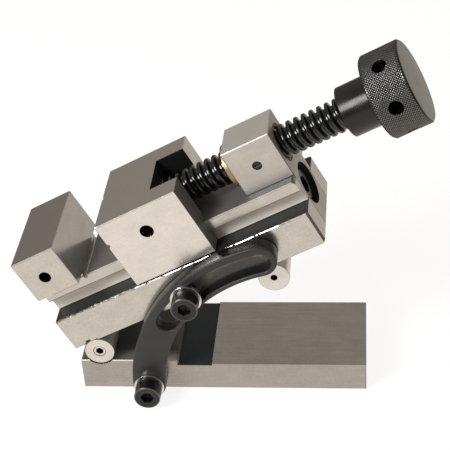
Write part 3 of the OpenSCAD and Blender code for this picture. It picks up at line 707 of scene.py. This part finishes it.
    KNOB = BlackSteel(
        "knob_black", Frame.VISE, (24, 24, 24), roughness=0.26, rub_share=0.4, rub_radius=0.06,
        cloud=0.9, sheen=(0.84, 0.84, 0.8, 1.0),
        bare=(
            Patch("end face", (KNOB_END_U, 0, SCREW_H), (0.65, 19.4, 19.4), (152, 158, 160)),
            Patch("end middle", (KNOB_END_U, 0, SCREW_H), (4, 3, 3), (84, 86, 80), 0.3, soft=3.0),
            Patch(
                "knurl tips", (KNOB_U, 0, SCREW_H), (9.2, 40, 40), (138, 140, 140), 0.9,
                across=ROUND_X, radii=(20.1, 30)),
        ),
        dark=(
            # Painted shade inside the tommy holes
            Patch("holes", (KNOB_U, 0, SCREW_H), (9.0, 40, 40), DEEP, across=ROUND_X, radii=(0, 19.4)),
        ),
    )


class Workshop:
    """Holds the materials and gives finished pieces to the frame."""

    def __init__(self) -> None:
        """Makes the groups and every finish."""
        groups = Groups()
        self.materials = {finish: finish.value.make(groups) for finish in Finish}

    def dress(self, node: str, finish: Finish) -> None:
        """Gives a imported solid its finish.

        Args:
            node: The solid's name.
            finish: Its finish.
        """
        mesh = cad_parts[node].data
        mesh.materials.clear()
        mesh.materials.append(self.materials[finish])
        LOG.info("dressed %s with %s", node, finish.value.name)

    def hand_in(self, piece: bpy.types.Object, finishes: tuple[Finish, ...], body: str, node: str) -> None:
        """Finishes a new piece and lets it stand for its solid.

        Args:
            piece: The new piece.
            finishes: Its finishes, in the order of its faces' numbers.
            body: The body that it moves with.
            node: The solid that it stands for.
        """
        for finish in finishes:
            piece.data.materials.append(self.materials[finish])
        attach(piece, body)
        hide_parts(node)
        LOG.info("built %s for %s", piece.name, node)


def rounded(points: Profile, radius: float, steps: int = 4) -> Profile:
    """Rounds the inner corners of an open profile.

    Args:
        points: The profile's corners.
        radius: Radius of each corner.
        steps: Steps round a corner.

    Returns:
        The rounded profile.
    """
    most = 0.49
    made = [points[0]]
    for before, corner, after in zip(points, points[1:], points[2:]):
        middle = Vector(corner)
        back, on = Vector(before) - middle, Vector(after) - middle
        reach = min(radius / math.tan(back.angle(on) / 2), most * back.length, most * on.length)
        start, end = middle + back.normalized() * reach, middle + on.normalized() * reach
        for step in range(steps + 1):
            share = step / steps
            point = start.lerp(middle, share).lerp(middle.lerp(end, share), share)
            made.append((point.x, point.y))
    made.append(points[-1])
    return made


@dataclass(frozen=True)
class Ring:
    """One ring of a turned piece: place along the axis, radius, depth of cut ribs and their row."""

    along: float
    radius: float
    depth: float = 0.0
    row: int = 0
    hexagon: bool = False

    def reach(self, column: int, columns: int) -> float:
        """Radius at one column.

        Args:
            column: Number of the column.
            columns: Columns in the ring.

        Returns:
            The radius.
        """
        if self.hexagon:
            sixth = math.tau / 6
            return self.radius / math.cos((math.tau * column / columns) % sixth - sixth / 2)
        return self.radius - (self.depth if (column + self.row) % 2 == 0 else 0.0)


def rings(profile: Profile) -> list[Ring]:
    """Makes plain rings of a profile of places along the axis and radii."""
    return [Ring(along, radius) for along, radius in profile]


def turn(mesh: bmesh.types.BMesh, made: list[Ring], columns: int) -> None:
    """Adds a closed turned piece along X.

    Args:
        mesh: The mesh to add to.
        made: Its rings, from end to end. A ring of no radius is a point on the axis.
        columns: Columns round the axis.
    """
    loops = []
    for ring in made:
        if ring.radius == 0:
            loops.append([mesh.verts.new((ring.along, 0, 0))])
            continue
        loop = []
        for column in range(columns):
            angle, reach = math.tau * column / columns, ring.reach(column, columns)
            loop.append(mesh.verts.new((ring.along, reach * math.cos(angle), reach * math.sin(angle))))
        loops.append(loop)
    for ring, after, low, high in zip(made, made[1:], loops, loops[1:]):
        crossed = ring.depth > 0 and after.depth > 0 and ring.row != after.row
        for column in range(columns):
            following = (column + 1) % columns
            a, b = low[column % len(low)], low[following % len(low)]
            d, c = high[column % len(high)], high[following % len(high)]
            if a is b:
                mesh.faces.new((a, c, d))
            elif c is d:
                mesh.faces.new((a, b, c))
            elif crossed and (column + ring.row) % 2 == 0:
                mesh.faces.new((a, b, c))
                mesh.faces.new((a, c, d))
            elif crossed:
                mesh.faces.new((a, b, d))
                mesh.faces.new((b, c, d))
            else:
                mesh.faces.new((a, b, c, d))


def piece_from(name: str, mesh: bmesh.types.BMesh, place: Matrix, crease: float = 35.0) -> bpy.types.Object:
    """Makes an object of a mesh.

    Args:
        name: Name of the piece.
        mesh: The mesh, which is freed.
        place: Takes its points to the part's frame.
        crease: Edges bent more than this, in degrees, stay sharp.

    Returns:
        The object, linked to the scene.
    """
    bmesh.ops.recalc_face_normals(mesh, faces=mesh.faces)
    mesh.transform(place)
    data = bpy.data.meshes.new(name)
    mesh.to_mesh(data)
    mesh.free()
    data.shade_smooth()
    data.set_sharp_from_angle(angle=math.radians(crease))
    piece = bpy.data.objects.new(name, data)
    bpy.context.scene.collection.objects.link(piece)
    return piece


@dataclass
class CapScrew:
    """Socket cap screw that holds the arm: ribbed head, rounded rim, hexagon socket."""

    name: str
    body: str
    place: Matrix
    head_d: float = 13.0
    head_h: float = 8.0
    shank_d: float = 7.8
    length: float = 25.0
    tip_round: float = 0.8
    seat_l: float = 1.2
    seat_round: float = 0.35
    ribs: Span = (1.5, 6.2)
    rib_depth: float = 0.16
    rim_start: float = 6.5
    rim: float = 0.6
    rim_steps: int = 6
    socket: float = 6.0
    mouth_share: float = 1.34
    socket_walls: Span = (0.35, 4.0)
    socket_tip: float = 4.9
    columns: int = 108

    def rings(self) -> list[Ring]:
        """Works out the screw's outline.

        Returns:
            Rings from the shank's tip, up over the rim and down into the socket.
        """
        head, shank, key = self.head_d / 2, self.shank_d / 2, self.socket / 2
        tip, top = -self.length, self.head_h
        foot = rings(rounded([(tip, 0.0), (tip, shank), (0, shank)], self.tip_round))
        seat = rings(rounded([(0, shank), (0, head), (self.seat_l, head)], self.seat_round))[1:]
        ribs = [Ring(along, head, self.rib_depth) for along in self.ribs]
        corner = [(self.rim_start, head), (top, head), (top, key * self.mouth_share)]
        rim = rings(rounded(corner, self.rim, self.rim_steps))
        walls = [Ring(top - depth, key, hexagon=True) for depth in self.socket_walls]
        return foot + seat + ribs + rim + walls + [Ring(top - self.socket_tip, 0.0)]

    def build(self, shop: Workshop) -> None:
        """Makes the screw.

        Args:
            shop: The workshop that takes it.
        """
        mesh = bmesh.new()
        turn(mesh, self.rings(), self.columns)
        for face in mesh.faces:
            along, *across = face.calc_center_median()
            worn = along > self.head_h - self.rim and math.hypot(*across) > self.head_d / 2 - self.rim
            face.material_index = int(worn)
        outward = Matrix.Rotation(-math.pi / 2, 4, "Z")
        piece = piece_from(self.name + "_piece", mesh, self.place @ outward)
        shop.hand_in(piece, (Finish.CAP_SCREW, Finish.SCREW_RIM), self.body, self.name)


class DressedGroup:
    """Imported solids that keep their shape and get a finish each."""

    finishes: ClassVar[dict[str, Finish]] = {}

    def build(self, shop: Workshop) -> None:
        """Dresses every solid in the workshop."""
        for node, finish in self.finishes.items():
            shop.dress(node, finish)


@dataclass
class BaseGroup(DressedGroup):
    """Base plate with the fixed part of the hinge and the arm's pivot screw."""

    finishes: ClassVar[dict[str, Finish]] = {
        "base_plate": Finish.BASE,
        "hinge_base_knuckle": Finish.BASE_FITTING,
        "hinge_foot_screws": Finish.FITTING,
        "hinge_pin": Finish.BASE_FITTING,
        "arm_pivot_washer": Finish.WASHER,
    }
    head_seat: Point = (PIVOT_X, HEAD_Y, PIVOT_H)

    def build(self, shop: Workshop) -> None:
        """Dresses the base and makes the pivot screw in the workshop."""
        super().build(shop)
        CapScrew("arm_pivot_screw", "base", PART @ Matrix.Translation(self.head_seat)).build(shop)


@dataclass
class ViseGroup(DressedGroup):
    """Tilting body with its rollers, nut block and lock screw."""

    finishes: ClassVar[dict[str, Finish]] = {
        "vise_body": Finish.BODY,
        "hinge_front_knuckle": Finish.ROLLER,
        "hinge_rear_knuckle": Finish.ROLLER,
        "hinge_leaf_screws": Finish.FITTING,
        "hinge_end_screws": Finish.ROLLER,
        "sine_roller": Finish.ROLLER,
        "sine_roller_screws": Finish.FITTING,
        "nut_block": Finish.NUT_BLOCK,
        "nut_block_bolt": Finish.FITTING,
        "bronze_nut": Finish.BRONZE,
        "nut_lock_screw": Finish.FITTING,
        "arm_lock_washer": Finish.WASHER,
    }
    head_seat: Point = (LOCK_U, HEAD_Y, LOCK_H)

    def build(self, shop: Workshop) -> None:
        """Dresses the body and makes the lock screw in the workshop."""
        super().build(shop)
        CapScrew("arm_lock_screw", "vise", PLACE.matrix() @ Matrix.Translation(self.head_seat)).build(shop)


@dataclass
class JawGroup(DressedGroup):
    """Movable jaw and the pins that hold the screw's nose."""

    finishes: ClassVar[dict[str, Finish]] = {
        "movable_jaw": Finish.JAW,
        "retaining_pins": Finish.ROLLER,
    }


@dataclass
class SlottedArm:
    """Curved arm with a curved slot and rounded edges."""

    bend_r: float = 78.6
    width: float = 16.6
    sweep: float = 74.8
    slot_start: float = 30.8
    slot_r: float = 77.65
    slot_w: float = 10.1
    bore_d: float = 7.9
    back: float = -25.2
    front: float = -33.2
    edge: float = 0.9
    edge_steps: int = 4
    arc_steps: int = 48
    cap_steps: int = 20
    side_finishes: tuple[int, int, int] = (1, 2, 0)
    crease: float = 30.0

    def turned(self) -> float:
        """Works out how far the arm is swung.

        Returns:
            The turn that puts its centre line on the lock screw.
        """
        lock = PLACE.matrix() @ Vector((LOCK_U, 0, LOCK_H)) / MM
        across, up = lock.x - PIVOT_X, lock.z - PIVOT_H
        bend = math.asin(math.hypot(across, up) / (2 * self.bend_r))
        return math.atan2(up, across) - math.pi / 2 + bend

    def loop(self, radius: float, width: float, first: float, last: float) -> Profile:
        """Outline of a curved bar with round ends.

        Args:
            radius: Radius of its centre line about the bend.
            width: Its width.
            first: Sweep of its first end in degrees.
            last: Sweep of its last end in degrees.

        Returns:
            The closed outline.
        """
        made = []

        def point(sweep: float, turned: float) -> None:
            """Adds a point of the outline.

            Args:
                sweep: Sweep of the nearest point on the centre line.
                turned: Turn from outward about that point.
            """
            out = Vector((-math.cos(sweep), math.sin(sweep)))
            on = Vector((math.sin(sweep), math.cos(sweep)))
            offset = out * math.cos(turned) + on * math.sin(turned)
            place = Vector((self.bend_r, 0)) + out * radius + offset * (width / 2)
            made.append((place.x, place.y))

        start, end = math.radians(first), math.radians(last)
        for begin, stop, side in ((start, end, 0.0), (end, start, math.pi)):
            for step in range(self.arc_steps):
                point(begin + (stop - begin) * step / self.arc_steps, side)
            for step in range(self.cap_steps):
                point(stop, side + math.pi * step / self.cap_steps)
        return made

    def bore(self, radius: float) -> Profile:
        """Outline of the pivot bore."""
        angles = (math.tau * step / self.arc_steps for step in range(self.arc_steps))
        return [(radius * math.cos(angle), radius * math.sin(angle)) for angle in angles]

    def rows(self) -> Profile:
        """Works out the rounding of the edges.

        Returns:
            Inset of the outline and its place across the arm, from the front face to the back face.
        """
        made = []
        for step in range(self.edge_steps + 1):
            turned = math.pi / 2 * step / self.edge_steps
            made.append((self.edge * (1 - math.sin(turned)), self.edge * (1 - math.cos(turned))))
        front = [(inset, self.front + depth) for inset, depth in made]
        back = [(inset, self.back - depth) for inset, depth in reversed(made)]
        return front + back

    def build(self, shop: Workshop) -> None:
        """Makes the arm.

        Args:
            shop: The workshop that takes it.
        """
        mesh = bmesh.new()
        faces: list[list[bmesh.types.BMEdge]] = [[], []]
        outlines = (
            lambda inset: self.loop(self.bend_r, self.width - 2 * inset, 0, self.sweep),
            lambda inset: self.loop(self.slot_r, self.slot_w + 2 * inset, self.slot_start, self.sweep),
            lambda inset: self.bore(self.bore_d / 2 + inset),
        )
        for side_finish, outline in zip(self.side_finishes, outlines):
            loops = []
            for inset, across in self.rows():
                loops.append([mesh.verts.new((x, across, z)) for x, z in outline(inset)])
            for row, (low, high) in enumerate(zip(loops, loops[1:])):
                for i, vertex in enumerate(low):
                    j = (i + 1) % len(low)
                    face = mesh.faces.new((vertex, low[j], high[j], high[i]))
                    face.material_index = side_finish if row == self.edge_steps else 0
            for face, loop in zip(faces, (loops[0], loops[-1])):
                face += [mesh.edges.get((v, loop[(i + 1) % len(loop)])) for i, v in enumerate(loop)]
        for face in faces:
            bmesh.ops.triangle_fill(mesh, edges=face, use_beauty=True)
        pivot = Matrix.Translation((PIVOT_X, 0, PIVOT_H))
        place = PART @ pivot @ Matrix.Rotation(-self.turned(), 4, "Y")
        piece = piece_from("slotted_arm_piece", mesh, place, self.crease)
        finishes = (Finish.ARM, Finish.ARM_RIM, Finish.ARM_SLOT)
        shop.hand_in(piece, finishes, "arm", "slotted_arm")


@dataclass
class Spindle:
    """Lead screw with a rounded trapezoidal thread, and the knurled knob."""

    thread_u: float = 79.65
    thread_l: float = 95.0
    thread_start: float = 0.7
    pitch: float = 4.0
    crest_r: float = 8.0
    root_r: float = 5.75
    crest: float = 0.366
    flank: float = 0.1507
    thread_steps: int = 48
    spare_turns: int = 3
    tooth_round: float = 0.62
    tooth_steps: int = 3
    screw_crease: float = 50.0
    nose_l: float = 15.55
    nose_r: float = 5.5
    nose_edge: float = 0.5
    nose_lap: float = 0.4
    groove_r: float = 4.0
    groove: Span = (-10.85, -6.25)
    hub_r: float = 12.2
    hub_l: float = 16.0
    hub_round: float = 0.7
    head_r: float = 20.45
    head_l: float = 19.3
    head_start: float = 2.0
    head_drop: float = 0.3
    edge: float = 0.5
    front_round: float = 0.5
    back_round: float = 0.4
    knurl_depth: float = 0.6
    knurls: int = 92
    knurl_rows: int = 27
    knob_crease: float = 75.0
    hole_r: float = 3.4
    hole_depth: float = 11.35
    hole_tip: float = 1.4
    hole_mouth: float = 0.35
    hole_over: float = 3.0
    hole_columns: int = 40
    holes: int = 6
    hole_turn: float = 4.7

    def tooth(self) -> Profile:
        """Works out one pitch of the thread.

        Returns:
            Places along the screw and radii, from the middle of the root.
        """
        half = (1 - self.crest - 2 * self.flank) / 2
        marks = [0.0, half, half + self.flank, half + self.flank + self.crest, 1 - half, 1.0]
        heights = [self.root_r, self.root_r, self.crest_r, self.crest_r, self.root_r, self.root_r]
        corners = [(self.pitch * mark, height) for mark, height in zip(marks, heights)]
        shift = self.thread_start + self.pitch * half
        return [(x + shift, r) for x, r in rounded(corners, self.tooth_round, self.tooth_steps)[:-1]]

    def thread(self, mesh: bmesh.types.BMesh) -> None:
        """Adds the thread as one helix, cut flat at both ends.

        Args:
            mesh: The mesh to add to.
        """
        tooth, round_steps = self.tooth(), self.thread_steps
        total = (math.ceil(self.thread_l / self.pitch) + self.spare_turns) * round_steps
        rows = []
        for step in range(total + round_steps):
            angle = math.tau * step / round_steps
            lead = self.pitch * (step / round_steps - self.spare_turns)
            rows.append([
                mesh.verts.new((lead + x, r * math.cos(angle), r * math.sin(angle))) for x, r in tooth
            ])
        for step in range(total - 1):
            here = rows[step] + [rows[step + round_steps][0]]
            after = rows[step + 1] + [rows[step + 1 + round_steps][0]]
            for a, b, c, d in zip(here, here[1:], after[1:], after):
                mesh.faces.new((a, b, c, d))
        for place, way in ((0.0, -1), (self.thread_l, 1)):
            bmesh.ops.bisect_plane(
                mesh, geom=mesh.verts[:] + mesh.edges[:] + mesh.faces[:], plane_co=(place, 0, 0),
                plane_no=(way, 0, 0), clear_outer=True)
        bmesh.ops.delete(mesh, geom=[v for v in mesh.verts if not v.link_faces], context="VERTS")
        bmesh.ops.holes_fill(mesh, edges=[e for e in mesh.edges if e.is_boundary])

    def nose(self) -> list[Ring]:
        """Works out the plain nose with its groove.

        Returns:
            Rings from its tip to where it laps into the thread.
        """
        start, end = self.groove
        tip, lap = -self.nose_l, self.nose_lap
        return rings([
            (tip, 0), (tip, self.nose_r - self.nose_edge), (tip + self.nose_edge, self.nose_r),
            (start, self.nose_r), (start, self.groove_r), (end, self.groove_r), (end, self.nose_r),
            (lap, self.nose_r), (lap, 0),
        ])

    def build_screw(self, shop: Workshop) -> None:
        """Makes the lead screw.

        Args:
            shop: The workshop that takes it.
        """
        mesh = bmesh.new()
        self.thread(mesh)
        turn(mesh, self.nose(), self.thread_steps)
        place = PLACE.matrix() @ Matrix.Translation((self.thread_u, 0, SCREW_H))
        piece = piece_from("lead_screw_piece", mesh, place, self.screw_crease)
        shop.hand_in(piece, (Finish.THREAD,), "spindle", "lead_screw")

    def knob_rings(self) -> list[Ring]:
        """Works out the knob's outline.

        Returns:
            Rings from the hub's face over the knurled rim to the end face.
        """
        face, end, hub_r = self.hub_l, self.hub_l + self.head_l, self.hub_r
        low = self.head_r - self.knurl_depth
        first, last = face + self.edge, end - self.edge
        hub = rounded([(0, 0), (0, hub_r), (face, hub_r), (face, low - self.edge)], self.hub_round)
        corner = [(face, hub_r + self.head_start), (face, low - self.head_drop), (first, low)]
        front = rounded(corner, self.front_round)
        step = (last - first) / (self.knurl_rows + 1)
        knurl = [
            Ring(first + step * (row + 1), self.head_r, self.knurl_depth, row)
            for row in range(self.knurl_rows)
        ]
        back = rounded([(last, low), (end, low - self.edge), (end, 0)], self.back_round)
        return rings(hub[:-1] + front[1:]) + knurl + rings(back)

    def cutter(self) -> bpy.types.Object:
        """Makes the tool that cuts the radial holes.

        Returns:
            All the holes as one piece.
        """
        mesh = bmesh.new()
        middle = Matrix.Translation((self.hub_l + self.head_l / 2, 0, 0))
        bottom, mouth = self.head_r - self.hole_depth, self.head_r - self.hole_mouth
        outer = self.head_r + self.hole_over
        for hole in range(self.holes):
            part = bmesh.new()
            turn(part, rings([
                (bottom - self.hole_tip, 0), (bottom, self.hole_r), (mouth, self.hole_r),
                (outer, self.hole_r + outer - mouth), (outer, 0),
            ]), self.hole_columns)
            spin = Matrix.Rotation(-math.radians(self.hole_turn + 360 * hole / self.holes), 4, "X")
            part.transform(middle @ spin @ Matrix.Rotation(-math.pi / 2, 4, "Z"))
            data = bpy.data.meshes.new("tommy_hole")
            part.to_mesh(data)
            part.free()
            mesh.from_mesh(data)
            bpy.data.meshes.remove(data)
        return piece_from("tommy_holes", mesh, Matrix.Identity(4))

    def build_knob(self, shop: Workshop) -> None:
        """Makes the knob and bores its tommy holes.

        Args:
            shop: The workshop that takes it.
        """
        mesh = bmesh.new()
        turn(mesh, self.knob_rings(), 2 * self.knurls)
        solid = piece_from("knob_piece", mesh, Matrix.Identity(4))
        cutter = self.cutter()
        cut = solid.modifiers.new("holes", "BOOLEAN")
        cut.operation = "DIFFERENCE"
        cut.solver = "EXACT"
        cut.object = cutter
        bpy.context.view_layer.update()
        bored = bpy.data.meshes.new_from_object(solid.evaluated_get(bpy.context.evaluated_depsgraph_get()))
        solid.modifiers.clear()
        bored.transform(PLACE.matrix() @ Matrix.Translation((self.thread_u + self.thread_l, 0, SCREW_H)))
        bored.materials.clear()
        bored.set_sharp_from_angle(angle=math.radians(self.knob_crease))
        plain, solid.data = solid.data, bored
        bpy.data.meshes.remove(plain)
        bpy.data.objects.remove(cutter)
        shop.hand_in(solid, (Finish.KNOB,), "spindle", "knob")

    def build(self, shop: Workshop) -> None:
        """Makes the screw and the knob, and dresses the washer.

        Args:
            shop: The workshop that takes them.
        """
        shop.dress("thrust_washer", Finish.OILED_BRONZE)
        self.build_screw(shop)
        self.build_knob(shop)


@dataclass
class Studio:
    """Pale floor, soft light from the left and the camera, in metres."""

    eye: Point = (0.07094, -0.54188, 0.45362)
    right: Point = (0.99453, 0.08404, -0.06198)
    down: Point = (-0.00326, -0.56823, -0.82286)
    ahead: Point = (-0.10437, 0.81857, -0.56485)
    lens: float = 109.02
    sensor: float = 36.0
    shift: Span = (0.0060, 0.0102)
    clip: Span = (0.01, 20.0)
    floor_half: float = 4.0
    floor_drop: float = 0.0003
    floor_base: Rgba = (0.3, 0.3, 0.3, 1.0)
    floor_rough: float = 0.9
    floor_white: Rgba = (0.84, 0.84, 0.84, 1.0)
    floor_near: Rgba = (0.71, 0.63, 0.55, 1.0)
    floor_far: Rgba = (0.40, 0.355, 0.31, 1.0)
    floor_dark: Rgba = (0.12, 0.107, 0.093, 1.0)
    floor_fade: Span = (0.0, 0.3)
    floor_pool: Span = (0.7, 1.8)
    room_low: Rgba = (0.20, 0.178, 0.155, 1.0)
    room_high: Rgba = (0.45, 0.4, 0.35, 1.0)
    room_fade: Span = (0.0, 0.6)
    lamp_place: Point = (-0.62, -0.58, 0.6)
    lamp_aim: Point = (0.03, 0.0, 0.1)
    lamp_size: float = 0.38
    lamp_watts: float = 6.3

    def floor(self) -> None:
        """Makes the floor, white to the camera and dimmer behind the vise in what its steel mirrors."""
        mesh = bmesh.new()
        bmesh.ops.create_grid(mesh, x_segments=1, y_segments=1, size=self.floor_half)
        floor = piece_from("floor", mesh, Matrix.Translation((0, 0, -self.floor_drop)))
        material = bpy.data.materials.new("floor_pale")
        material.use_nodes = True
        nodes = Nodes(material.node_tree)
        inputs = material.node_tree.nodes[SHADER].inputs
        inputs["Base Color"].default_value = self.floor_base
        inputs["Roughness"].default_value = self.floor_rough
        inputs["Specular IOR Level"].default_value = 0.0
        inputs["Emission Strength"].default_value = 1.0
        here = nodes.add("TexCoord").outputs["Object"]
        far = nodes.ranged(nodes.split(here)[1], *self.floor_fade)
        past = nodes.ranged(nodes.vector("LENGTH", here, out="Value"), *self.floor_pool)
        dimmed = nodes.mix(past, nodes.mix(far, self.floor_near, self.floor_far), self.floor_dark)
        seen = nodes.add("LightPath").outputs["Is Camera Ray"]
        nodes.feed(inputs["Emission Color"], nodes.mix(seen, dimmed, self.floor_white))
        floor.data.materials.append(material)

    def lamp(self) -> None:
        """Makes the one soft square light."""
        data = bpy.data.lights.new("window", "AREA")
        data.shape = "SQUARE"
        data.size = self.lamp_size
        data.energy = self.lamp_watts
        lamp = bpy.data.objects.new("window", data)
        lamp.location = self.lamp_place
        ahead = Vector(self.lamp_aim) - Vector(self.lamp_place)
        lamp.rotation_euler = ahead.to_track_quat("-Z", "Y").to_euler()
        bpy.context.scene.collection.objects.link(lamp)

    def world(self) -> None:
        """Sets the room's own soft light, dim near the floor."""
        world = bpy.data.worlds.new("room")
        world.use_nodes = True
        nodes = Nodes(world.node_tree)
        up = nodes.split(nodes.add("TexCoord").outputs["Generated"])[2]
        shade = nodes.mix(nodes.ranged(up, *self.room_fade), self.room_low, self.room_high)
        nodes.feed(world.node_tree.nodes["Background"].inputs["Color"], shade)
        bpy.context.scene.world = world

    def camera(self) -> None:
        """Sets the camera where the photograph was taken from."""
        data = bpy.data.cameras.new("camera")
        data.sensor_width = self.sensor
        data.lens = self.lens
        data.shift_x, data.shift_y = self.shift
        data.clip_start, data.clip_end = self.clip
        camera = bpy.data.objects.new("camera", data)
        axes = Matrix((Vector(self.right), -Vector(self.down), -Vector(self.ahead))).transposed()
        camera.matrix_world = Matrix.Translation(self.eye) @ axes.to_4x4()
        bpy.context.scene.collection.objects.link(camera)
        bpy.context.scene.camera = camera

    def build(self) -> None:
        """Makes the camera, the floor and the lights."""
        self.camera()
        self.floor()
        self.world()
        self.lamp()
        bpy.context.scene.view_settings.view_transform = "Standard"


def main() -> None:
    """Builds the scene in order."""
    logging.basicConfig(level=logging.INFO, format="%(message)s")
    Studio().build()
    shop = Workshop()
    for group in (BaseGroup(), SlottedArm(), ViseGroup(), JawGroup(), Spindle()):
        group.build(shop)


if __name__ == "__main__":
    main()
